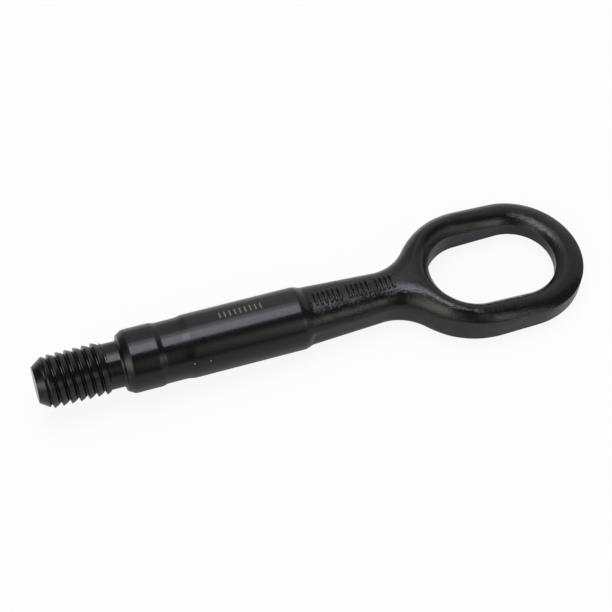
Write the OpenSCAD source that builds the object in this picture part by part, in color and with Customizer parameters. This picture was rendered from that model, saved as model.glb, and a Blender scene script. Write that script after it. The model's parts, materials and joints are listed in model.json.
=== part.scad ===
// Screw-in towing eye: one steel forging with a turned shank and an oblong eye.
// X runs along the shank from the centre of the threaded end towards the eye.
// Z is square to the flat of the eye. All sizes are in millimetres.

/* [Threaded end] */
// Diameter over the thread
thread_d = 18; // [15:0.5:20]
// Length from the end face to the last full turn
thread_len = 23.2; // [18:0.2:30]
// Diameter of the flat end face
end_face_d = 12.4; // [8:0.2:14]
// Length of the lead-in cone
lead_in_len = 4.1; // [2:0.1:6]
// Diameter of the neck between thread and collar
neck_d = 15.8; // [13:0.1:17]
// Length of the neck with its run-out cone
neck_len = 6.3; // [4:0.2:10]
// Radius in the corner between the neck and the seat
neck_fillet = 0.7; // [0.2:0.1:0.8]

/* [Turned shank] */
// Diameter of the collar and of the long bearing length
shank_d = 22; // [19:0.5:27]
// Outer diameter of the flat ring on the front of the collar
seat_d = 19.2; // [17:0.2:22]
// Length of the cone from the seat to the collar
collar_cone_len = 2.3; // [1:0.1:4]
// Length of the collar behind its cone
collar_len = 9.5; // [6:0.2:14]
// Diameter of the relief behind the collar
relief_d = 21.1; // [18:0.1:25]
// Length of the cone down from the collar
relief_step_len = 1.6; // [0.8:0.1:3]
// Length of the relief
relief_len = 7.3; // [4:0.1:12]
// Length of the cone up from the relief
relief_ramp_len = 2.4; // [1:0.1:4]
// Length of the long bearing length
bearing_len = 39.2; // [28:0.2:50]
// Length of the shallow cone that runs down to the stem and on inside it
shoulder_len = 4.8; // [3:0.1:7]

/* [Stem] */
// Width of the stem at the shoulder
stem_root_w = 19.4; // [16:0.1:24]
// Thickness of the stem at the shoulder
stem_root_t = 19; // [15:0.1:22]
// Width of the stem at its waist
waist_w = 15.9; // [13:0.1:20]
// Thickness of the stem at its waist
waist_t = 17; // [14:0.1:21]
// Length from the shoulder to the start of the slot
stem_len = 48.9; // [38:0.5:60]
// Radius of the flare from the stem into the eye
flare_r = 17.1; // [12:0.1:22]

/* [Eye] */
// Width of the eye across its flanks
eye_w = 49.4; // [45:0.2:60]
// Length of the slot
slot_len = 46.6; // [40:0.2:58]
// Width of the slot, which has round ends
slot_w = 30.8; // [24:0.1:35]
// Bar width at the far tip of the eye
tip_bar_w = 9.7; // [7:0.1:12]
// Radius of the heel, where the flare turns into the flank
heel_r = 32.7; // [26:0.1:40]
// Distance from the start of the slot to the end of the heel
heel_len = 18.3; // [14:0.1:26]
// Thickness of the forging where the slot starts
eye_root_t = 17.2; // [13:0.1:20]
// Thickness of the forging at the tip
eye_tip_t = 6.9; // [6:0.1:10]

/* [Forged section] */
// Length over which the stem's section turns into the eye's section
section_blend_len = 29; // [16:0.5:36]
// Height of the straight outside wall where the slot starts
wall_root_t = 10.2; // [6:0.1:12]
// Height of the straight outside wall at the tip of the eye
wall_tip_t = 4.8; // [3:0.1:6]
// Height of the straight wall on the side of the stem
stem_wall_t = 4.4; // [0.4:0.1:6]
// Width over which the crown falls to the outside wall
crown_w = 4.6; // [3:0.1:8]
// Width over which the crown falls to the rim of the slot
rim_w = 4.7; // [2:0.1:6]
// Share of the thickness by which the rim of the slot lies lower
rim_drop = 0.48; // [0.1:0.02:0.6]

/* [Hidden] */

// Facets of the turned surfaces, and points in the arc of the fillet
turn_fn = 128;
fillet_steps = 5;

// Stations along the shank, from the end face
neck_x = thread_len;
seat_x = neck_x + neck_len;
collar_x = seat_x + collar_cone_len;
step_x = collar_x + collar_len;
relief_x = step_x + relief_step_len;
ramp_x = relief_x + relief_len;
bearing_x = ramp_x + relief_ramp_len;
shoulder_x = bearing_x + bearing_len;
run_out = (thread_d - neck_d) / 2;

// The stem's forging starts inside the shank, and the shank's cone ends inside the stem
stem_overlap = 3;
shoulder_sink = 0.6;
forge_x = shoulder_x - stem_overlap;
shoulder_end_r = stem_root_t / 2 - shoulder_sink;

// Plan of the slot and of the far end of the eye
slot_r = slot_w / 2;
slot_x = shoulder_x + stem_len;
slot_near_x = slot_x + slot_r;
slot_far_x = slot_x + slot_len - slot_r;
tip_x = slot_x + slot_len + tip_bar_w;
tip_r = eye_w / 2;
tip_centre_x = tip_x - tip_r;

// Plan of the flare: a hollow arc that meets the heel's arc on a common tangent
heel_x = slot_x + heel_len;
heel_y = eye_w / 2 - heel_r;
flare_y = waist_w / 2 + flare_r;
flare_x = heel_x - sqrt(pow(flare_r + heel_r, 2) - pow(flare_y - heel_y, 2));
meet_x = flare_x + (heel_x - flare_x) * flare_r / (flare_r + heel_r);

// Rows along the forging and points across it
stem_rows = 14;
rim_rows = 5;
end_rows = 14;
flank_rows = 4;
tip_rows = 14;
across = 11;

function smooth_step(t) = let (c = max(0, min(1, t))) c * c * (3 - 2 * c);
function blend(a, b, t) = a + (b - a) * t;
function arc_height(r, d) = sqrt(max(0, r * r - d * d));

// Half the width of the forging's outline at a station
function outline_y(x) =
    x < flare_x ? blend(waist_w, stem_root_w, max(0, flare_x - x) / (flare_x - shoulder_x)) / 2 :
    x < meet_x ? flare_y - arc_height(flare_r, x - flare_x) :
    x < heel_x ? heel_y + arc_height(heel_r, heel_x - x) :
    x < tip_centre_x ? eye_w / 2 :
    arc_height(tip_r, x - tip_centre_x);

// Slope of that outline, from a close station on either side
slope_step = 0.05;
function outline_slope(x) = (outline_y(x + slope_step) - outline_y(x - slope_step)) / (2 * slope_step);

// Share of the way from the stem's section to the eye's section
function eye_share(x) = smooth_step((x - flare_x) / section_blend_len);

// Half the thickness of the forging at a station
function crown_z(x) =
    x < flare_x
        ? blend(waist_t, stem_root_t, (flare_x - x) / (flare_x - shoulder_x)) / 2
        : blend(waist_t, blend(eye_root_t, eye_tip_t, (x - slot_x) / (tip_x - slot_x)), eye_share(x)) / 2;

// Half the height of the straight outside wall, which takes up no more than
// this share of the thickness
most_wall = 0.9;
function wall_z(x) =
    let (along = max(0, min(1, (x - slot_x) / (tip_x - slot_x))))
    let (eye_wall_t = blend(wall_root_t, wall_tip_t, along))
    min(blend(stem_wall_t, eye_wall_t, eye_share(x)) / 2, crown_z(x) * most_wall);

// Distance from a point to the rim of the slot
function rim_distance(x, y) = norm([max(slot_near_x - x, x - slot_far_x, 0), y]) - slot_r;

// Height of the upper face over a point, from its distance to the outside wall.
// The stem's crown is half an oval between its walls. The eye's is an arc that meets its walls
// at an edge.
function face_z(x, y, edge, half_w) =
    let (crown = crown_z(x))
    let (wall = wall_z(x))
    let (round_w = min(half_w, blend(half_w, crown_w, eye_share(x))))
    let (outside = max(0, 1 - edge / round_w))
    let (oval = arc_height(1, outside))
    let (arc = 1 - outside * outside)
    let (rim = max(0, 1 - rim_distance(x, y) / rim_w))
    wall + (crown - wall) * blend(oval, arc, eye_share(x)) - crown * rim_drop * rim * rim;

// Shares of the way from the inner to the outer edge, closer together at both
shares = [for (j = [0:across]) (1 - cos(180 * j / across)) / 2];

// Stations whose rows lie square to the shank
stem_stations = [for (i = [0:stem_rows]) blend(forge_x, slot_x - rim_w, i / stem_rows)];
rim_stations = [for (i = [1:rim_rows]) slot_x - rim_w * (1 - i / rim_rows)];
end_stations = [for (i = [1:end_rows]) slot_near_x - slot_r * cos(90 * i / end_rows)];
flank_stations = [for (i = [1:flank_rows]) blend(slot_near_x, tip_centre_x, i / flank_rows)];

// One such row, from the shank's middle plane or the slot's rim out to the outline
function square_row(x) =
    let (inner = x <= slot_x ? 0 : arc_height(slot_r, max(slot_near_x - x, x - slot_far_x, 0)))
    let (outer = outline_y(x))
    let (lean = 1 / norm([1, outline_slope(x)]))
    [for (s = shares)
        let (y = blend(inner, outer, s))
        [x, y, face_z(x, y, (outer - y) * lean, outer * lean)]];

// A row of the fan round the tip, at an angle from the shank's axis
function fan_row(a) =
    let (off = tip_centre_x - slot_far_x)
    let (inner = arc_height(slot_r, off * sin(a)) - off * cos(a))
    [for (s = shares)
        let (r = blend(inner, tip_r, s))
        let (x = tip_centre_x + r * cos(a))
        let (y = r * sin(a))
        [x, y, face_z(x, y, tip_r - r, tip_r)]];

square_stations = concat(stem_stations, rim_stations, end_stations, flank_stations);
rows = concat(
    [for (x = square_stations) square_row(x)],
    [for (i = [1:tip_rows]) fan_row(90 - 90 * i / tip_rows)]
);
last_row = len(rows) - 1;
slot_row = stem_rows + rim_rows;
row_size = across + 1;
sheet_size = len(rows) * row_size;

// The four sheets of points: upper and lower face, on each side of the middle plane
forging_points = [
    for (side = [1, -1], face = [1, -1], row = rows, p = row)
        [p[0], side * p[1], face * p[2]]
];

// Index of a point. Points on the middle plane belong to the first side only.
function on_plane(i, j) = i == last_row || (j == 0 && i <= slot_row);
function point_id(side, face, i, j) =
    (side == 1 && !on_plane(i, j) ? 2 : 0) * sheet_size + face * sheet_size + i * row_size + j;

// A patch of four points as two triangles, turned over where the sheet is mirrored
function patch(a, b, c, d, flip) = flip ? [[a, b, c], [a, c, d]] : [[c, b, a], [d, c, a]];

face_patches = [for (side = [0, 1], face = [0, 1], i = [0:last_row - 1], j = [0:across - 1])
    each patch(point_id(side, face, i, j), point_id(side, face, i + 1, j),
        point_id(side, face, i + 1, j + 1), point_id(side, face, i, j + 1), side != face)];
wall_patches = [for (side = [0, 1], i = [0:last_row - 1])
    each patch(point_id(side, 0, i, across), point_id(side, 0, i + 1, across),
        point_id(side, 1, i + 1, across), point_id(side, 1, i, across), side == 1)];
slot_patches = [for (side = [0, 1], i = [slot_row:last_row - 1])
    each patch(point_id(side, 0, i, 0), point_id(side, 0, i + 1, 0),
        point_id(side, 1, i + 1, 0), point_id(side, 1, i, 0), side == 0)];
root_face = concat(
    [for (j = [across:-1:0]) point_id(0, 0, 0, j)],
    [for (j = [1:across]) point_id(1, 0, 0, j)],
    [for (j = [across:-1:0]) point_id(1, 1, 0, j)],
    [for (j = [1:across]) point_id(0, 1, 0, j)]
);

// Half profile of the thread and the neck, up to the corner in front of the seat
thread_profile = [
    [0, 0],
    [end_face_d / 2, 0],
    [thread_d / 2, lead_in_len],
    [thread_d / 2, neck_x],
    [neck_d / 2, neck_x + run_out]
];

// The hollow arc in that corner, from the neck out to the seat
fillet_arc = [for (i = [0:fillet_steps])
    let (a = 90 * i / fillet_steps)
    [
        neck_d / 2 + neck_fillet * (1 - cos(a)),
        seat_x - neck_fillet * (1 - sin(a))
    ]
];

// Half profile from the seat back into the stem
shank_profile = [
    [seat_d / 2, seat_x],
    [shank_d / 2, collar_x],
    [shank_d / 2, step_x],
    [relief_d / 2, relief_x],
    [relief_d / 2, ramp_x],
    [shank_d / 2, bearing_x],
    [shank_d / 2, shoulder_x],
    [shoulder_end_r, shoulder_x + shoulder_len],
    [0, shoulder_x + shoulder_len]
];

// Threaded end, collar, relief and bearing length, turned in one set-up
module turned_shank() {
    rotate([90, 0, 90])
        rotate_extrude($fn = turn_fn)
            polygon(concat(thread_profile, fillet_arc, shank_profile));
}

// Stem and eye, forged between two dies that meet on the middle plane
module forged_eye() {
    polyhedron(
        points = forging_points,
        faces = concat(face_patches, wall_patches, slot_patches, [root_face]),
        convexity = 6
    );
}

module tow_hook() {
    color("#1d1e21")
        union() {
            turned_shank();
            forged_eye();
        }
}

tow_hook();
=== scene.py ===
# %% [markdown]
# # A screw-in towing eye
# The real hook starts as a round steel bar. Forging dies squeeze one end into a stem and an
# oblong eye. The other end is turned on a lathe, threaded, and the whole hook is painted black.
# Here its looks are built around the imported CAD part, which gives every main size.

# %% Load the frame
import json
import math

import bmesh
import bpy
from mathutils import Matrix, Vector


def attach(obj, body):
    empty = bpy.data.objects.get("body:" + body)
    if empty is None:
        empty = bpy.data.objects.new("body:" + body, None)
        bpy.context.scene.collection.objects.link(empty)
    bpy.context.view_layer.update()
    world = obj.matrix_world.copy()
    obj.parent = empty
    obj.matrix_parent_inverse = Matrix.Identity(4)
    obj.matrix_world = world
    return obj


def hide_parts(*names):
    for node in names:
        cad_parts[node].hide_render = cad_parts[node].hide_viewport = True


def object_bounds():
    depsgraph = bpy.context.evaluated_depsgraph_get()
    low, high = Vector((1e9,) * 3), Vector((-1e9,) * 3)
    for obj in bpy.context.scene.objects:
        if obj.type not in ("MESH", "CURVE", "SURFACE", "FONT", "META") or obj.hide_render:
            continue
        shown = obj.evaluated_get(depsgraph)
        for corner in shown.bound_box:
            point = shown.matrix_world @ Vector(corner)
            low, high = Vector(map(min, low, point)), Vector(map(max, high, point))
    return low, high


MM = 0.001


def in_mm(*sizes):
    """Sizes in millimetres, rounded, for the printed notes."""
    return [round(size / MM, 2) for size in sizes]


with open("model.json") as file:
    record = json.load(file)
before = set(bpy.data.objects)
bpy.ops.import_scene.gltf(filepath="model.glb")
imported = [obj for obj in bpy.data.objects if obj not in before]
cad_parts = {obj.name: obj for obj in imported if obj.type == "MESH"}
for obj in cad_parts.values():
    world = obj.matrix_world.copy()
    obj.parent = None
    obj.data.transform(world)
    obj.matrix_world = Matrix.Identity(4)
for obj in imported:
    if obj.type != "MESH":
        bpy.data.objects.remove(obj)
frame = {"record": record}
cad_low, cad_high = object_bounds()
print("CAD box in mm:", in_mm(*cad_low, *cad_high))

# %% [markdown]
# ## Sizes
# The record's mounts say where the thread, the collar and the long bearing length start and end,
# so these stations are read from the frame. Only sizes that no mount holds are written down.
# A station is a place along the shank, counted in metres from the end face at the thread.

# %% Stations along the shank
mounts = {mount["name"]: mount for mount in frame["record"]["mounts"]}


def mount_span(name):
    """First and last station of a round mount along the shank."""
    middle = mounts[name]["pos_m"][0]
    half = mounts[name]["dims"]["length_mm"] * MM / 2
    return middle - half, middle + half


lead_in_x, neck_x = mount_span("thread")
collar_x, step_x = mount_span("collar")
bearing_x, shoulder_x = mount_span("bearing")
seat_x = mounts["seat"]["pos_m"][0]
slot_middle_x = mounts["slot"]["pos_m"][0]
tip_x = cad_high.x
shank_r = cad_high.z
eye_half = cad_high.y
thread_r = mounts["thread"]["dims"]["r_mm"] * MM
print("thread, seat, collar and bearing in mm:")
print(in_mm(lead_in_x, neck_x, seat_x, collar_x, step_x, bearing_x, shoulder_x))

# %% Sizes of the turned end
end_face_r = 6.2 * MM
neck_r = 7.9 * MM
seat_r = 9.6 * MM
relief_r = 10.55 * MM
relief_x = step_x + 1.6 * MM
ramp_x = bearing_x - 2.4 * MM
neck_fillet = 0.7 * MM
run_out = thread_r - neck_r
print("radii of end face, neck, seat and relief in mm:")
print(in_mm(end_face_r, neck_r, seat_r, relief_r))

# %% Sizes of the forging
slot_r, slot_half_len = 15.4 * MM, 23.3 * MM
slot_x = slot_middle_x - slot_half_len
slot_end_x = slot_middle_x + slot_half_len
slot_near_x, slot_far_x = slot_x + slot_r, slot_end_x - slot_r
tip_centre_x = tip_x - eye_half
shoulder_len = 3.4 * MM
stem_start_x = shoulder_x + shoulder_len
stem_root_w, stem_root_t = 19.4 * MM, 19.0 * MM
waist_w, waist_t = 15.9 * MM, 17.0 * MM
eye_root_t, eye_tip_t = 17.2 * MM, 6.9 * MM
flare_r, heel_r = 17.1 * MM, 32.7 * MM
heel_x = slot_x + 18.3 * MM
section_blend_len, crown_blend_len = 29.0 * MM, 21.0 * MM
stem_wall_t, wall_root_t, wall_tip_t = 4.4 * MM, 10.2 * MM, 4.8 * MM
crown_w, rim_w, rim_drop = 4.6 * MM, 4.7 * MM, 0.48
print("slot's ends in mm:", in_mm(slot_x, slot_end_x))

# %% [markdown]
# ## The forging's form
# A drop forging has a section that changes all the way along. Its outline seen from above is a
# hollow flare that meets the heel of the eye, then straight flanks and a round tip. Its height is
# greatest at the stem and falls to the tip. Across the stem, the upper face is half an oval over
# two low straight walls. Across the bar of the eye, it is an arc over higher walls, and it sinks
# again to a rounded rim at the slot. These formulas give the height of the upper face over any
# point, and the lower face is its mirror image, as two like dies would leave it.

# %% Outline seen from above
heel_y = eye_half - heel_r
flare_y = waist_w / 2 + flare_r
flare_x = heel_x - math.sqrt((flare_r + heel_r) ** 2 - (flare_y - heel_y) ** 2)
meet_x = flare_x + (heel_x - flare_x) * flare_r / (flare_r + heel_r)


def blend(a, b, share):
    return a + (b - a) * share


def smooth_step(share):
    """A share held between 0 and 1 that starts and ends softly."""
    share = max(0.0, min(1.0, share))
    return share * share * (3 - 2 * share)


def arc_height(radius, distance):
    """Height of a circle over a point that lies a distance from its middle."""
    return math.sqrt(max(0.0, radius ** 2 - distance ** 2))


def outline_y(x):
    """Half the width of the forging at a station."""
    if x < flare_x:
        return blend(waist_w, stem_root_w, (flare_x - x) / (flare_x - shoulder_x)) / 2
    if x < meet_x:
        return flare_y - arc_height(flare_r, x - flare_x)
    if x < heel_x:
        return heel_y + arc_height(heel_r, heel_x - x)
    if x < tip_centre_x:
        return eye_half
    return arc_height(eye_half, x - tip_centre_x)


def outline_lean(x):
    """Cosine of the outline's slope, which turns a sideways distance into a square one."""
    step = 0.05 * MM
    slope = (outline_y(x + step) - outline_y(x - step)) / (2 * step)
    return 1 / math.hypot(1, slope)


print("flare's start and its meeting with the heel in mm:", in_mm(flare_x, meet_x))


# %% Height of the upper face
def eye_share(x):
    """How far the section has changed from the stem's, 0, to the eye's, 1."""
    return smooth_step((x - flare_x) / section_blend_len)


def crown_z(x):
    """Half the thickness of the forging at a station."""
    if x < flare_x:
        return blend(waist_t, stem_root_t, (flare_x - x) / (flare_x - shoulder_x)) / 2
    eye_t = blend(eye_root_t, eye_tip_t, (x - slot_x) / (tip_x - slot_x))
    return blend(waist_t, eye_t, eye_share(x)) / 2


def wall_z(x):
    """Half the height of the straight outside wall at a station."""
    along = max(0.0, min(1.0, (x - slot_x) / (tip_x - slot_x)))
    return blend(stem_wall_t, blend(wall_root_t, wall_tip_t, along), eye_share(x)) / 2


def face_z(x, y, edge, half_w):
    """Height over a point, from its distance to the outside wall."""
    crown, wall = crown_z(x), wall_z(x)
    crown_share = smooth_step((x - flare_x) / crown_blend_len)
    rise_w = min(half_w, blend(half_w, crown_w, crown_share))
    outside = max(0.0, 1 - edge / rise_w)
    oval, arc = arc_height(1, outside), 1 - outside ** 2
    rim_away = math.hypot(max(slot_near_x - x, x - slot_far_x, 0), y) - slot_r
    rim = max(0.0, 1 - rim_away / rim_w)
    return wall + (crown - wall) * blend(oval, arc, eye_share(x)) - crown * rim_drop * rim ** 2


print("half thickness at the stem's root, the slot and the tip in mm:")
print(in_mm(crown_z(shoulder_x), crown_z(slot_x), crown_z(tip_x)))

# %% [markdown]
# ## One quarter as a sheet
# The forging is the same above and below its parting plane, and left and right of its middle
# plane. So one flat grid is shaped into a quarter of it, its edges are extruded down to the
# parting plane, and two mirrors make the rest. A grid keeps even rows of faces, which a glossy
# paint needs: any unevenness in the faces would show in its reflections.
# The rows lie square to the shank up to the tip, where they fan out round its middle.

# %% Stations of the rows
FACE_COLUMNS = 31
RING_COUNT = 4 * (FACE_COLUMNS + 1)
SHOULDER_ROWS, STEM_ROWS, FLARE_ROWS, END_ROWS, FLANK_ROWS, TIP_ROWS = 12, 22, 22, 26, 10, 26
QUARTER_TURN = math.pi / 2


def spaced(start, end, count):
    """Even stations from a start, without the end, where the next stretch begins."""
    return [blend(start, end, i / count) for i in range(count)]


row_stations = spaced(shoulder_x, stem_start_x, SHOULDER_ROWS)
row_stations += spaced(stem_start_x, flare_x, STEM_ROWS)
row_stations += spaced(flare_x, slot_x, FLARE_ROWS)
slot_row = len(row_stations)
row_stations += [
    slot_near_x - slot_r * math.cos(QUARTER_TURN * i / END_ROWS) for i in range(END_ROWS)
]
row_stations += spaced(slot_near_x, tip_centre_x, FLANK_ROWS) + [tip_centre_x]
fan_angles = [QUARTER_TURN * (1 - i / TIP_ROWS) for i in range(1, TIP_ROWS + 1)]
row_count = len(row_stations) + len(fan_angles)
print(row_count, "rows of", FACE_COLUMNS + 1, "points in each quarter")


# %% Points of one row
def column_share(column, x):
    """How far across a column lies: by even angles on the stem, by even widths on the eye."""
    turn = QUARTER_TURN / (FACE_COLUMNS + 1)
    on_stem = math.sin(turn * column) / math.sin(turn * FACE_COLUMNS)
    on_eye = column / FACE_COLUMNS
    return blend(on_stem, on_eye, eye_share(x))


def square_point(x, column):
    """A point of the rows that lie square to the shank."""
    inner = 0 if x <= slot_x else arc_height(slot_r, max(slot_near_x - x, x - slot_far_x, 0))
    outer = outline_y(x)
    y = blend(inner, outer, column_share(column, x))
    lean = outline_lean(x)
    return Vector((x, y, face_z(x, y, (outer - y) * lean, outer * lean)))


def fan_point(angle, column):
    """A point of the rows that fan out round the tip."""
    off = tip_centre_x - slot_far_x
    inner = arc_height(slot_r, off * math.sin(angle)) - off * math.cos(angle)
    reach = blend(inner, eye_half, column_share(column, tip_x))
    x = tip_centre_x + reach * math.cos(angle)
    y = reach * math.sin(angle)
    return Vector((x, y, face_z(x, y, eye_half - reach, eye_half)))


print("middle of the tip in mm:", in_mm(*fan_point(0, FACE_COLUMNS)))

# %% From the turned circle to the stem
SHOULDER_SOFTNESS = 0.6


def shoulder_share(x):
    """From the turned circle, 0, to the forged section, 1, on a cone with soft ends."""
    share = (x - shoulder_x) / shoulder_len
    return blend(max(0.0, min(1.0, share)), smooth_step(share), SHOULDER_SOFTNESS)


def circle_point(x, column):
    angle = QUARTER_TURN * column / (FACE_COLUMNS + 1)
    return Vector((x, shank_r * math.sin(angle), shank_r * math.cos(angle)))


def sheet_point(row, column):
    if row >= len(row_stations):
        return fan_point(fan_angles[row - len(row_stations)], column)
    x = row_stations[row]
    forged = square_point(x, column)
    if x >= stem_start_x:
        return forged
    return circle_point(x, column).lerp(forged, shoulder_share(x))


print("the shoulder runs in mm:", in_mm(shoulder_x, stem_start_x))

# %% Shape the sheet
hook = bmesh.new()
bmesh.ops.create_grid(hook, x_segments=row_count - 1, y_segments=FACE_COLUMNS, size=1)
row_layer = hook.verts.layers.int.new("row")
column_layer = hook.verts.layers.int.new("column")
for vert in hook.verts:
    row = round((vert.co.x + 1) / 2 * (row_count - 1))
    column = round((vert.co.y + 1) / 2 * FACE_COLUMNS)
    vert[row_layer], vert[column_layer] = row, column
    vert.co = sheet_point(row, column)
print(len(hook.faces), "faces in the sheet")

# %% Walls down to the parting plane
HOLDING_SHARE = 0.7
outer_edges = [e for e in hook.edges if all(v[column_layer] == FACE_COLUMNS for v in e.verts)]
rim_edges = [
    e for e in hook.edges
    if all(v[column_layer] == 0 and v[row_layer] >= slot_row for v in e.verts)
]


def extrude_down(edges, share):
    """Extrude edges and lower the new points to a share of their height."""
    new = bmesh.ops.extrude_edge_only(hook, edges=edges)["geom"]
    for vert in (g for g in new if isinstance(g, bmesh.types.BMVert)):
        vert.co.z *= share
        if share == 0 and vert.co.x < stem_start_x:
            circle_out = shank_r - circle_point(vert.co.x, FACE_COLUMNS).y
            vert.co.y += circle_out * (1 - shoulder_share(vert.co.x))
    return [g for g in new if isinstance(g, bmesh.types.BMEdge)]


eye_rim_edges = extrude_down(rim_edges, HOLDING_SHARE)
extrude_down(eye_rim_edges, 0)
extrude_down(outer_edges, 0)
print(len(outer_edges), "outer and", len(rim_edges), "rim edges extruded")

# %% Mirror it twice
MERGE_DIST, TINY_DIST = 1e-6, 1e-7
for axis in "ZY":
    half = hook.verts[:] + hook.edges[:] + hook.faces[:]
    bmesh.ops.mirror(hook, geom=half, axis=axis, merge_dist=TINY_DIST)
bmesh.ops.remove_doubles(hook, verts=hook.verts, dist=MERGE_DIST)
open_edges = [e for e in hook.edges if e.is_boundary]
print(len(hook.faces), "faces,", len(open_edges), "open edges, which is the ring at the shoulder")

# %% Round the edges of the eye's walls
WALL_EDGE_ANGLE, WALL_EDGE_WIDTH = math.radians(14), 0.45 * MM
high_walls_x, high_walls_z = stem_start_x + 10 * MM, 1 * MM


def round_edges(mesh, edges, width, segments=3, clamp=True):
    """Bevel edges with a round profile."""
    bmesh.ops.bevel(
        mesh, geom=edges, offset=width, offset_type="OFFSET", segments=segments, profile=0.5,
        affect="EDGES", material=-1, clamp_overlap=clamp,
    )


bmesh.ops.recalc_face_normals(hook, faces=hook.faces)
wall_edges = [
    e for e in hook.edges
    if not e.is_boundary and e.calc_face_angle(0) > WALL_EDGE_ANGLE
    and abs(e.verts[0].co.z) > high_walls_z and min(v.co.x for v in e.verts) > high_walls_x
]
round_edges(hook, wall_edges, WALL_EDGE_WIDTH)
print(len(wall_edges), "wall edges rounded")

# %% [markdown]
# ## The turned shank
# A lathe leaves a body of revolution, so its half profile is drawn once as a chain of points and
# spun round the shank's axis. The steps of the spin match the forging's ring, so the two weld
# into one skin with no seam, as the real bar has none. Points close to both ends of each long
# line hold its faces flat, so that a rounded edge doesn't bend the reflection beside it.

# %% Draw the profile
HOLD = 0.8 * MM
neck_start_x = neck_x + run_out + 0.6 * MM
shank_profile = [
    (neck_start_x, neck_r),
    (seat_x - neck_fillet, neck_r),
    (seat_x, neck_r + neck_fillet),
    (seat_x, seat_r),
    (collar_x, shank_r),
    (step_x, shank_r),
    (relief_x, relief_r),
    (ramp_x, relief_r),
    (bearing_x, shank_r),
    (shoulder_x, shank_r),
]
held_profile = [shank_profile[0]]
for start, end in zip(shank_profile, shank_profile[1:]):
    length = math.dist(start, end)
    if length > 4 * HOLD:
        for share in (HOLD / length, 1 - HOLD / length):
            held_profile.append((blend(start[0], end[0], share), blend(start[1], end[1], share)))
    held_profile.append(end)
print(len(shank_profile), "corners and", len(held_profile), "points in the profile")

# %% Spin the profile
chain = [hook.verts.new((x, 0, r)) for x, r in held_profile]
chain_edges = [hook.edges.new(pair) for pair in zip(chain, chain[1:])]
bmesh.ops.spin(
    hook, geom=chain + chain_edges, axis=(1, 0, 0), cent=(0, 0, 0),
    angle=2 * math.pi, steps=RING_COUNT, use_merge=True,
)
bmesh.ops.remove_doubles(hook, verts=hook.verts, dist=2 * MERGE_DIST)
open_edges = [e for e in hook.edges if e.is_boundary]
print(len(hook.faces), "faces,", len(open_edges), "open edges, which is the ring in the neck")

# %% Break the turned edges
NEAR = 1e-5
broken_edges = {
    (seat_x - neck_fillet, neck_r): 0.3,
    (seat_x, neck_r + neck_fillet): 0.25,
    (seat_x, seat_r): 0.2,
    (collar_x, shank_r): 0.5,
    (step_x, shank_r): 0.45,
    (relief_x, relief_r): 0.5,
    (ramp_x, relief_r): 0.8,
    (bearing_x, shank_r): 0.5,
}


def is_on_ring(vert, x, r):
    """Whether a point lies on the ring at a station and a radius."""
    return abs(vert.co.x - x) < NEAR and abs(math.hypot(vert.co.y, vert.co.z) - r) < NEAR


for (x, r), width in broken_edges.items():
    ring = [e for e in hook.edges if all(is_on_ring(v, x, r) for v in e.verts)]
    round_edges(hook, ring, width * MM, clamp=False)
print(len(hook.faces), "faces after the edges are broken")

# %% [markdown]
# ## The thread
# A rolled thread is one profile carried along a helix. Spin can do that: besides turning, it
# moves the chain along the axis a little at each step, so that one full turn advances it by the
# pitch. The last row then lies on the first one of the next turn, and the two are merged.
# The ridge rises steeply to a narrow crest and falls on a longer flank towards the neck.
# The lead-in cone and the neck cut the ridge away, so the radius is held under that envelope.
# Before the neck, the groove is filled until it meets the neck's own radius.

# %% Profile of the ridge
LONG_PIECE, SHORT_PIECE = 1.5 * MM, 0.6 * MM
pitch = 3.0 * MM
root_r, flank_foot_r = thread_r - 1.25 * MM, thread_r - 0.65 * MM
ridge = [
    (0.0, root_r),
    (0.42 * MM, thread_r),
    (0.6 * MM, thread_r),
    (2.1 * MM, flank_foot_r),
    (2.8 * MM, root_r),
]
first_turn, last_turn = -2, math.ceil(neck_start_x / pitch) + 1

thread = bmesh.new()
thread_points = [
    thread.verts.new((turn * pitch + along, 0, r))
    for turn in range(first_turn, last_turn) for along, r in ridge
]
thread_edges = [thread.edges.new(pair) for pair in zip(thread_points, thread_points[1:])]
long_pieces = [e for e in thread_edges if e.calc_length() > LONG_PIECE]
bmesh.ops.subdivide_edges(thread, edges=long_pieces, cuts=7)
middle_pieces = [e for e in thread.edges if SHORT_PIECE < e.calc_length() < LONG_PIECE]
bmesh.ops.subdivide_edges(thread, edges=middle_pieces, cuts=3)
print(len(thread.verts), "points in the thread's chain")

# %% Carry it along the helix
THREAD_STEPS = 128
bmesh.ops.spin(
    thread, geom=thread.verts[:] + thread.edges[:], axis=(1, 0, 0), cent=(0, 0, 0),
    dvec=(pitch / THREAD_STEPS, 0, 0), angle=2 * math.pi, steps=THREAD_STEPS,
)
bmesh.ops.remove_doubles(thread, verts=thread.verts, dist=MERGE_DIST)
print(len(thread.faces), "faces in the uncut thread")

# %% Cut it to the lead-in cone and the neck
FILL_LEN = 0.8 * MM
thread_end_x = neck_x + run_out + 0.2 * MM


def envelope_r(x):
    """The largest radius that the lead-in cone and the neck leave at a station."""
    on_cone = end_face_r + (thread_r - end_face_r) * max(0.0, x) / lead_in_x
    on_run_out = thread_r - max(0.0, x - neck_x)
    return max(neck_r if x > neck_x else end_face_r, min(on_cone, on_run_out, thread_r))


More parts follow.
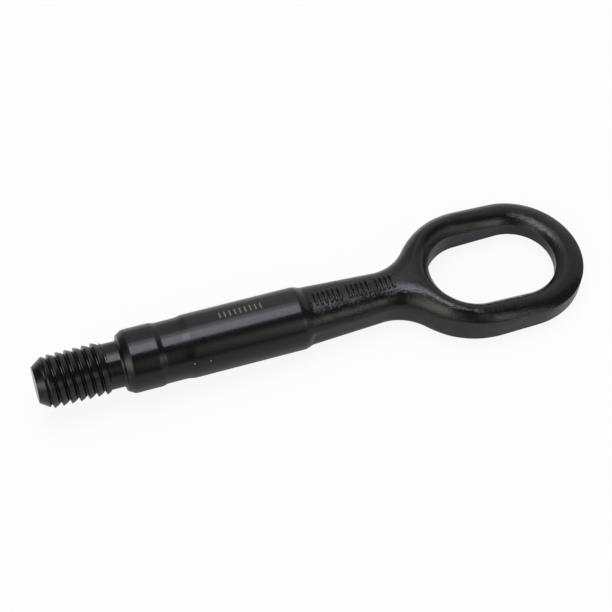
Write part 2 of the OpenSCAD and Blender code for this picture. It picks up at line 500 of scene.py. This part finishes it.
for vert in thread.verts:
    r = math.hypot(vert.co.y, vert.co.z)
    fill = smooth_step((vert.co.x - neck_x + FILL_LEN) / (FILL_LEN + run_out))
    hold = min(envelope_r(vert.co.x), max(r, blend(root_r, neck_r, fill))) / r
    vert.co.y *= hold
    vert.co.z *= hold
for cut_x, outward in ((0.0, -1), (thread_end_x, 1)):
    bmesh.ops.bisect_plane(
        thread, geom=thread.verts[:] + thread.edges[:] + thread.faces[:], dist=TINY_DIST,
        plane_co=(cut_x, 0, 0), plane_no=(outward, 0, 0), clear_outer=True,
    )
print(len(thread.faces), "faces in the thread")

# %% Join the thread to the neck
thread_mesh = bpy.data.meshes.new("thread_part")
thread.to_mesh(thread_mesh)
thread.free()
hook.from_mesh(thread_mesh)
bpy.data.meshes.remove(thread_mesh)
open_edges = [e for e in hook.edges if e.is_boundary]
end_ring = [e for e in open_edges if all(abs(v.co.x) < MERGE_DIST for v in e.verts)]
neck_rings = [e for e in open_edges if e not in set(end_ring)]
bmesh.ops.bridge_loops(hook, edges=neck_rings)
bmesh.ops.contextual_create(hook, geom=end_ring)
bmesh.ops.dissolve_degenerate(hook, dist=TINY_DIST, edges=hook.edges)
bmesh.ops.recalc_face_normals(hook, faces=hook.faces)
print("open edges left:", sum(1 for e in hook.edges if not e.is_manifold))

# %% Make it an object
HOOK_SHARP_ANGLE = math.radians(32)


def add_piece(name, maker, sharp_angle):
    """Turn a bmesh into an object with smooth faces and sharp edges over an angle."""
    for face in maker.faces:
        face.smooth = True
    mesh = bpy.data.meshes.new(name)
    maker.to_mesh(mesh)
    maker.free()
    mesh.set_sharp_from_angle(angle=sharp_angle)
    piece = bpy.data.objects.new(name, mesh)
    bpy.context.scene.collection.objects.link(piece)
    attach(piece, "root")
    print(name, "has", sum(len(p.vertices) - 2 for p in mesh.polygons), "triangles")
    return piece


forged_from_x = shoulder_x + 0.55 * shoulder_len
for face in hook.faces:
    face.material_index = int(face.calc_center_median().x > forged_from_x)
hook_body = add_piece("tow_hook_body", hook, HOOK_SHARP_ANGLE)
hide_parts("tow_hook")

# %% [markdown]
# ## Raised bars on the stem
# Forging dies often carry a cut pattern that leaves a raised one on the steel. Here it is three
# groups of plain bars. Each bar is a small block whose top follows the stem's crown, with its
# foot sunk in the stem, and its upper edges are rounded as hot steel leaves them.

# %% Place the bars
BAR_PITCH, BAR_WIDTH, BAR_PROUD, BAR_SUNK = 1.75 * MM, 1.0 * MM, 0.75 * MM, 0.5 * MM
BAR_MIDDLE_Y, BAR_LENGTH = -0.1 * MM, 5.6 * MM
BAR_GROUPS = [(97.8 * MM, 6), (110.0 * MM, 5), (120.4 * MM, 4)]
bar_stations = [first + BAR_PITCH * i for first, count in BAR_GROUPS for i in range(count)]
bars = bmesh.new()
for station in bar_stations:
    block = bmesh.ops.create_cube(bars, size=1)["verts"]
    bmesh.ops.scale(bars, verts=block, vec=(BAR_WIDTH, BAR_LENGTH, 1))
    bmesh.ops.translate(bars, verts=block, vec=(station, BAR_MIDDLE_Y, 0))
long_edges = [
    e for e in bars.edges if abs(e.verts[0].co.y - e.verts[1].co.y) > 0.9 * BAR_LENGTH
]
bmesh.ops.subdivide_edges(bars, edges=long_edges, cuts=7, use_grid_fill=True)
print(len(bar_stations), "bars")

# %% Lay the bars on the stem
BAR_SHARP_ANGLE = math.radians(50)
BAR_EDGE_WIDTH, BAR_EDGE_SEGMENTS = 0.36 * MM, 4
least_top_z = waist_t / 2 - 0.6 * MM
for vert in bars.verts:
    x, y = vert.co.x, abs(vert.co.y)
    surface = face_z(x, y, outline_y(x) - y, outline_y(x))
    vert.co.z = surface + (BAR_PROUD if vert.co.z > 0 else -BAR_SUNK)
upper_edges = [
    e for e in bars.edges
    if e.calc_face_angle(0) > BAR_SHARP_ANGLE and min(v.co.z for v in e.verts) > least_top_z
]
round_edges(bars, upper_edges, BAR_EDGE_WIDTH, BAR_EDGE_SEGMENTS)
bmesh.ops.recalc_face_normals(bars, faces=bars.faces)
print("open edges of the bars:", sum(1 for e in bars.edges if not e.is_manifold))
raised_bars = add_piece("raised_bars", bars, BAR_SHARP_ANGLE)

# %% [markdown]
# ## Paint
# The finish is a thin black paint with a satin gloss. It is never quite even: it is a little
# duller in some patches than in others, and its surface has a fine peel. Both materials need
# that, so it is made once as a node group, and each material adds the skin of its own steel.
# A few helpers add nodes and links, so that each material reads as a short list of its parts.


# %% Node helpers
def add_node(nodes, kind, settings=None, values=None):
    """Add a node, set its properties, and set the values of its sockets by name."""
    node = nodes.new(kind)
    for name, value in (settings or {}).items():
        setattr(node, name, value)
    for name, value in (values or {}).items():
        node.inputs[name].default_value = value
    return node


def add_noise(nodes, links, vector, scale, detail, roughness=0.5):
    sizes = {"Scale": scale, "Detail": detail, "Roughness": roughness}
    noise = add_node(nodes, "ShaderNodeTexNoise", values=sizes)
    links.new(vector, noise.inputs["Vector"])
    return noise.outputs["Fac"]


def add_math(nodes, links, operation, *parts):
    """One Math node. A part is a number or another node's output."""
    node = add_node(nodes, "ShaderNodeMath", {"operation": operation})
    for place, part in enumerate(parts):
        if isinstance(part, (int, float)):
            node.inputs[place].default_value = part
        else:
            links.new(part, node.inputs[place])
    return node.outputs[0]


def add_range(nodes, links, value, low, high, to_low, to_high):
    """Turn values from low to high into values from to_low to to_high."""
    node = add_node(nodes, "ShaderNodeMapRange", values={
        "From Min": low, "From Max": high, "To Min": to_low, "To Max": to_high,
    })
    links.new(value, node.inputs["Value"])
    return node.outputs["Result"]


print("helpers for noise, sums and ranges are ready")

# %% Helpers for bumps, colours and materials
COLOR_PLACES, COLOR_RESULT = (6, 7), 2


def add_bump(nodes, links, height, distance, before=None):
    """A bump of a height in metres, over the bump that came before it."""
    bump = add_node(nodes, "ShaderNodeBump", values={"Strength": 1.0, "Distance": distance})
    links.new(height, bump.inputs["Height"])
    if before is not None:
        links.new(before, bump.inputs["Normal"])
    return bump.outputs["Normal"]


def mix_colors(nodes, links, share, *colors):
    """Mix two colours. A colour is three numbers or another node's output."""
    mix = add_node(nodes, "ShaderNodeMix", {"data_type": "RGBA"})
    links.new(share, mix.inputs["Factor"])
    for place, color in zip(COLOR_PLACES, colors):
        if isinstance(color, tuple):
            mix.inputs[place].default_value = (*color, 1)
        else:
            links.new(color, mix.inputs[place])
    return mix.outputs[COLOR_RESULT]


def new_material(name, base_color, specular_level):
    material = bpy.data.materials.new(name)
    material.use_nodes = True
    shader = material.node_tree.nodes["Principled BSDF"]
    shader.inputs["Base Color"].default_value = (*base_color, 1)
    shader.inputs["Specular IOR Level"].default_value = specular_level
    print("material:", name)
    return material, material.node_tree.nodes, material.node_tree.links, shader


# %% Uneven paint, shared by both materials
PATCH_SCALE, PEEL_SCALE = 160, 1300
uneven_paint = bpy.data.node_groups.new("uneven_paint", "ShaderNodeTree")
for name in ("Patches", "Peel"):
    uneven_paint.interface.new_socket(name, in_out="OUTPUT", socket_type="NodeSocketFloat")
nodes, links = uneven_paint.nodes, uneven_paint.links
place = nodes.new("ShaderNodeTexCoord").outputs["Object"]
ends = nodes.new("NodeGroupOutput")
links.new(add_noise(nodes, links, place, PATCH_SCALE, 3), ends.inputs["Patches"])
links.new(add_noise(nodes, links, place, PEEL_SCALE, 2), ends.inputs["Peel"])
print("the group gives", [socket.name for socket in uneven_paint.interface.items_tree])

# %% [markdown]
# ## Turned steel under the paint
# A lathe tool leaves fine rings round the shank. Noise in one dimension, along the shank only,
# gives rings of uneven width. They change the gloss more than the form.

# %% Turned steel under paint
PAINT_BLACK, PAINT_SPECULAR = (0.0034, 0.0034, 0.0036), 0.29
NOISE_SPAN = (0.3, 0.7)
RING_SCALE, RING_ROUGHNESS, RING_HEIGHT = 1700, (0.12, 0.25), 0.012 * MM
PATCH_ROUGHNESS, TURNED_PEEL_HEIGHT = (-0.03, 0.04), 0.018 * MM

turned_paint, nodes, links, shader = new_material(
    "paint_on_turned_steel", PAINT_BLACK, PAINT_SPECULAR,
)
uneven = add_node(nodes, "ShaderNodeGroup", {"node_tree": uneven_paint})
place = nodes.new("ShaderNodeTexCoord").outputs["Object"]
split = nodes.new("ShaderNodeSeparateXYZ")
links.new(place, split.inputs[0])
rings = add_node(
    nodes, "ShaderNodeTexNoise", {"noise_dimensions": "1D"},
    {"Scale": 1, "Detail": 3, "Roughness": 0.6},
)
links.new(add_math(nodes, links, "MULTIPLY", split.outputs["X"], RING_SCALE), rings.inputs["W"])
from_rings = add_range(nodes, links, rings.outputs["Fac"], *NOISE_SPAN, *RING_ROUGHNESS)
from_patches = add_range(nodes, links, uneven.outputs["Patches"], *NOISE_SPAN, *PATCH_ROUGHNESS)
roughness = add_math(nodes, links, "ADD", from_rings, from_patches)
skin = add_bump(nodes, links, rings.outputs["Fac"], RING_HEIGHT)
skin = add_bump(nodes, links, uneven.outputs["Peel"], TURNED_PEEL_HEIGHT, skin)
links.new(skin, shader.inputs["Normal"])

# %% [markdown]
# ## Etched ticks and specks of dust
# A row of plain ticks is etched through the paint on top of the long bearing length. Each is a
# stripe with ragged sides: a share of every pitch along the shank, held between two ends and two
# sides. Two pale specks of dust sit in the paint, each a small ball round a point of the surface.

# %% Where the ticks lie
TICK_START, TICK_END, TICK_PITCH, TICK_SHARE = 64.1 * MM, 80.3 * MM, 1.8 * MM, 0.28
TICK_LOW_Y, TICK_HIGH_Y = 0.6 * MM, 3.1 * MM
RAGGED_SCALE, RAGGED_DEPTH = 5000, 0.12 * MM

ragged = add_noise(nodes, links, place, RAGGED_SCALE, 1)
sway = add_range(nodes, links, ragged, 0, 1, -RAGGED_DEPTH, RAGGED_DEPTH)
along = add_math(nodes, links, "ADD", split.outputs["X"], sway)
from_start = add_math(nodes, links, "SUBTRACT", along, TICK_START)
pitches = add_math(nodes, links, "DIVIDE", from_start, TICK_PITCH)
limits = [
    (add_math(nodes, links, "FRACT", pitches), "LESS_THAN", TICK_SHARE),
    (along, "GREATER_THAN", TICK_START),
    (along, "LESS_THAN", TICK_END),
    (split.outputs["Y"], "GREATER_THAN", TICK_LOW_Y),
    (split.outputs["Y"], "LESS_THAN", TICK_HIGH_Y),
    (split.outputs["Z"], "GREATER_THAN", 0.0),
]
ticks = 1.0
for value, comparison, limit in limits:
    inside = add_math(nodes, links, comparison, value, limit)
    ticks = add_math(nodes, links, "MULTIPLY", ticks, inside)
print("ticks in mm:", in_mm(TICK_START, TICK_END))

# %% Colour of the ticks and the specks
ETCHED, ETCHED_ROUGHER = (0.125, 0.1, 0.068), 0.3
SPECKS = [(52.1 * MM, 157.7), (57.7 * MM, 160.0)]
SPECK_R, SPECK_PALE = 0.26 * MM, (0.2, 0.2, 0.185)

color = mix_colors(nodes, links, ticks, PAINT_BLACK, ETCHED)
for x, angle in SPECKS:
    turn = math.radians(angle)
    away = add_node(nodes, "ShaderNodeVectorMath", {"operation": "DISTANCE"})
    away.inputs[1].default_value = (x, shank_r * math.cos(turn), shank_r * math.sin(turn))
    links.new(place, away.inputs[0])
    in_speck = add_math(nodes, links, "LESS_THAN", away.outputs["Value"], SPECK_R)
    color = mix_colors(nodes, links, in_speck, color, SPECK_PALE)
links.new(color, shader.inputs["Base Color"])
etched_roughness = add_math(nodes, links, "MULTIPLY", ticks, ETCHED_ROUGHER)
roughness = add_math(nodes, links, "ADD", roughness, etched_roughness)
links.new(roughness, shader.inputs["Roughness"])
hook_body.data.materials.append(turned_paint)
print(len(nodes), "nodes in the material")

# %% [markdown]
# ## Forged steel under the paint
# Hot dies and blasting leave the forging with an uneven skin: shallow waves some millimetres
# long, and fine bumps, less than a millimetre wide, that break up its highlights. The bumps are
# rougher in some patches than in others.

# %% Forged steel under paint
SHADES = (0.0030, 0.0030, 0.0032), (0.0050, 0.0049, 0.0047)
FORGED_ROUGHNESS = (0.11, 0.19)
BUMP_SCALE, BUMP_HEIGHT = 1500, 0.12 * MM
BUMP_PATCH_SPAN, BUMP_STRENGTH = (0.35, 0.65), (0.4, 1.4)
WAVE_SCALE, WAVE_HEIGHT, FORGED_PEEL_HEIGHT = 150, 0.13 * MM, 0.03 * MM

forged_paint, nodes, links, shader = new_material(
    "paint_on_forged_steel", PAINT_BLACK, PAINT_SPECULAR,
)
uneven = add_node(nodes, "ShaderNodeGroup", {"node_tree": uneven_paint})
patches = uneven.outputs["Patches"]
place = nodes.new("ShaderNodeTexCoord").outputs["Object"]
links.new(mix_colors(nodes, links, patches, *SHADES), shader.inputs["Base Color"])
roughness = add_range(nodes, links, patches, *NOISE_SPAN, *FORGED_ROUGHNESS)
links.new(roughness, shader.inputs["Roughness"])
bumps = add_noise(nodes, links, place, BUMP_SCALE, 2, 0.6)
strength = add_range(nodes, links, patches, *BUMP_PATCH_SPAN, *BUMP_STRENGTH)
skin = add_bump(nodes, links, add_noise(nodes, links, place, WAVE_SCALE, 2), WAVE_HEIGHT)
uneven_bumps = add_math(nodes, links, "MULTIPLY", bumps, strength)
skin = add_bump(nodes, links, uneven_bumps, BUMP_HEIGHT, skin)
skin = add_bump(nodes, links, uneven.outputs["Peel"], FORGED_PEEL_HEIGHT, skin)
links.new(skin, shader.inputs["Normal"])
hook_body.data.materials.append(forged_paint)
raised_bars.data.materials.append(forged_paint)

# %% [markdown]
# ## Camera
# The view was found by fitting the hook's outline: from above and from the threaded end's side,
# with a long lens. The camera looks at a point on the middle plane and is rolled a little.

# %% Place the camera
AIM = Vector((96.3, 4.07, 0)) * MM
AZIMUTH, ELEVATION, ROLL = (math.radians(angle) for angle in (-22.58, 54.66, 4.52))
DISTANCE = 581.9 * MM
LENS_MM, SENSOR_MM = 99.17, 36

back = Vector((
    math.sin(AZIMUTH) * math.cos(ELEVATION),
    -math.cos(AZIMUTH) * math.cos(ELEVATION),
    math.sin(ELEVATION),
))
camera_data = bpy.data.cameras.new("camera")
camera_data.lens = LENS_MM
camera_data.sensor_width = SENSOR_MM
camera_data.clip_start, camera_data.clip_end = 0.01, 100
camera = bpy.data.objects.new("camera", camera_data)
bpy.context.scene.collection.objects.link(camera)
camera.location = AIM + back * DISTANCE
camera.rotation_mode = "QUATERNION"
level = (-back).to_track_quat("-Z", "Y")
camera.rotation_quaternion = level @ Matrix.Rotation(ROLL, 4, "Z").to_quaternion()
bpy.context.scene.camera = camera
print("camera in mm:", in_mm(*camera.location))

# %% [markdown]
# ## Floor
# The hook lies on white ground, on the end of its shank and on the eye, so the floor touches it
# there and leans a little to the hook's own frame. Light Path tells one kind of ray from another:
# to the camera's rays the floor is mostly a white glow, to the rays that come off a gloss it has
# a little of that glow, and to all others it is a plain pale surface. The camera still sees some
# of that surface through the glow, and with it the hook's shadow.

# %% Lay the floor
FLOOR_HALF = 20
rest_x = shoulder_x
lower_points = [
    (v.co.x, v.co.z) for v in hook_body.data.vertices if v.co.x > stem_start_x and v.co.z < 0
]
lean = math.atan(min((z + shank_r) / (x - rest_x) for x, z in lower_points))
print("the floor leans by", round(math.degrees(lean), 2), "degrees")

floor_maker = bmesh.new()
bmesh.ops.create_grid(floor_maker, x_segments=1, y_segments=1, size=FLOOR_HALF)
leaning = Matrix.Rotation(-lean, 3, "Y")
bmesh.ops.rotate(floor_maker, verts=floor_maker.verts, matrix=leaning)
bmesh.ops.translate(floor_maker, verts=floor_maker.verts, vec=(rest_x, 0, -shank_r))
floor_mesh = bpy.data.meshes.new("floor")
floor_maker.to_mesh(floor_mesh)
floor_maker.free()
floor = bpy.data.objects.new("floor", floor_mesh)
bpy.context.scene.collection.objects.link(floor)

# %% Make the ground white
GROUND_WHITE, GROUND_ROUGHNESS = (0.64, 0.64, 0.64), 0.9
GROUND_GLOW, GROUND_GLOW_IN_GLOSS = 0.9, 0.04
floor_white, nodes, links, shader = new_material("white_ground", GROUND_WHITE, 0)
shader.inputs["Roughness"].default_value = GROUND_ROUGHNESS
glow = nodes.new("ShaderNodeEmission")
ray = nodes.new("ShaderNodeLightPath").outputs
bounced = add_math(nodes, links, "MAXIMUM", ray["Is Glossy Ray"], ray["Is Transmission Ray"])
bounced_share = add_math(nodes, links, "MULTIPLY", bounced, GROUND_GLOW_IN_GLOSS)
glow_share = add_math(
    nodes, links, "MULTIPLY_ADD", ray["Is Camera Ray"], GROUND_GLOW, bounced_share,
)
mixed = nodes.new("ShaderNodeMixShader")
for place, part in enumerate((glow_share, shader.outputs[0], glow.outputs[0])):
    links.new(part, mixed.inputs[place])
links.new(mixed.outputs[0], nodes["Material Output"].inputs["Surface"])
floor_mesh.materials.append(floor_white)

# %% [markdown]
# ## Soft box
# The light overhead is a soft box of three flat panels: a bright one over the threaded end, a
# less bright one over the eye, and a dim one behind. A black gloss paint shows the lights as they
# are, so their places and levels follow the reflections on the shank, whose form is known best.

# %% Hang the soft box
BOX_HEIGHT, BOX_TINT = 1.0, (0.95, 0.93, 1.09)
BOX_PANELS = {
    "near_thread": ((-0.24, 0.06), (-0.21, 0.28), 8.4),
    "middle": ((0.08, 0.38), (-0.23, 0.28), 5.8),
    "behind": ((-0.22, 0.39), (0.28, 0.56), 2.2),
}


def add_panel(name, x_span, y_span, glow):
    """One flat panel of the soft box, facing down. The glow is how bright it looks; white is 1."""
    panel = bpy.data.lights.new(name, "AREA")
    panel.shape = "RECTANGLE"
    panel.size, panel.size_y = x_span[1] - x_span[0], y_span[1] - y_span[0]
    panel.energy = glow * math.pi * panel.size * panel.size_y
    panel.color = BOX_TINT
    lamp = bpy.data.objects.new(name, panel)
    lamp.location = (sum(x_span) / 2, sum(y_span) / 2, BOX_HEIGHT)
    bpy.context.scene.collection.objects.link(lamp)
    print(name, "gives", round(panel.energy, 1), "W")


for name, (x_span, y_span, glow) in BOX_PANELS.items():
    add_panel("soft_box_" + name, x_span, y_span, glow)

# %% [markdown]
# ## Room
# Round the soft box is a room, and its walls show in the paint too. Each wall is a ramp of
# levels by the turn about the shank's axis: 0 degrees is level in front of the hook, 90 is
# straight up, and 180 is level behind it. There is a ramp for each of six directions along the
# shank, from -1, the threaded end's, to 1, the eye's, and the room blends each into the next.
# The lower part of the front wall is a little warm.

# %% Levels of the walls
WALLS = {
    -0.75: {
        0: 1.3, 6: 1.8, 26: 3.6, 48: 5.0, 71: 2.4, 92: 0.8, 112: 0.2, 147: 0.07, 165: 0.1,
        180: 0.15,
    },
    -0.25: {
        0: 0.3, 8: 0.1, 18: 0.07, 36: 0.22, 48: 0.2, 57: 0.08, 70: 0.12, 118: 0.9, 140: 0.85,
        180: 0.6,
    },
    0.12: {
        0: 0.2, 8: 0.14, 22: 0.22, 36: 0.42, 48: 0.36, 57: 0.08, 70: 0.12, 118: 1.0, 140: 0.85,
        180: 0.62,
    },
    0.21: {
        0: 0.3, 8: 0.4, 22: 1.3, 36: 1.5, 46: 1.15, 56: 0.2, 70: 0.15, 118: 1.9, 140: 1.75,
        165: 1.2, 180: 0.8,
    },
    0.35: {
        0: 0.5, 10: 0.5, 24: 1.8, 36: 4.6, 47: 1.9, 56: 0.2, 70: 0.1, 118: 0.9, 140: 0.9,
        180: 0.8,
    },
    0.70: {
        0: 0.5, 12: 0.5, 24: 1.4, 40: 1.4, 50: 0.4, 57: 0.2, 98: 0.15, 116: 0.8, 140: 0.9,
        180: 0.9,
    },
}
LOW_WALL_TINT, HIGH_WALL_TINT = (1, 0.985, 0.87), (1, 0.99, 0.985)
LOW_WALL_ANGLES = range(12, 53)
HALF_TURN = 180
ROOM_LEVEL = 0.85
print(len(WALLS), "ramps for the walls")

# %% Build the room
world = bpy.data.worlds.new("room")
world.use_nodes = True
bpy.context.scene.world = world
nodes, links = world.node_tree.nodes, world.node_tree.links
parts = nodes.new("ShaderNodeSeparateXYZ")
links.new(nodes.new("ShaderNodeTexCoord").outputs["Generated"], parts.inputs[0])
to_front = add_math(nodes, links, "MULTIPLY", parts.outputs["Y"], -1)
turn = add_math(nodes, links, "ARCTAN2", parts.outputs["Z"], to_front)
turn_share = add_range(nodes, links, turn, 0, math.pi, 0, 1)


def wall_ramp(levels):
    """A colour ramp with one stop for each angle of a wall."""
    ramp = nodes.new("ShaderNodeValToRGB")
    links.new(turn_share, ramp.inputs["Fac"])
    stops = ramp.color_ramp.elements
    while len(stops) < len(levels):
        stops.new(0.5)
    for stop, (angle, level) in zip(stops, levels.items()):
        tint = LOW_WALL_TINT if angle in LOW_WALL_ANGLES else HIGH_WALL_TINT
        stop.position = angle / HALF_TURN
        stop.color = (*(ROOM_LEVEL * level * part for part in tint), 1)
    return ramp.outputs["Color"]


directions = list(WALLS)
walls = wall_ramp(WALLS[directions[0]])
for start, end in zip(directions, directions[1:]):
    share = add_range(nodes, links, parts.outputs["X"], start, end, 0, 1)
    walls = mix_colors(nodes, links, share, walls, wall_ramp(WALLS[end]))
links.new(walls, nodes["Background"].inputs["Color"])
bpy.context.scene.view_settings.view_transform = "Standard"
print(len(nodes), "nodes in the room")
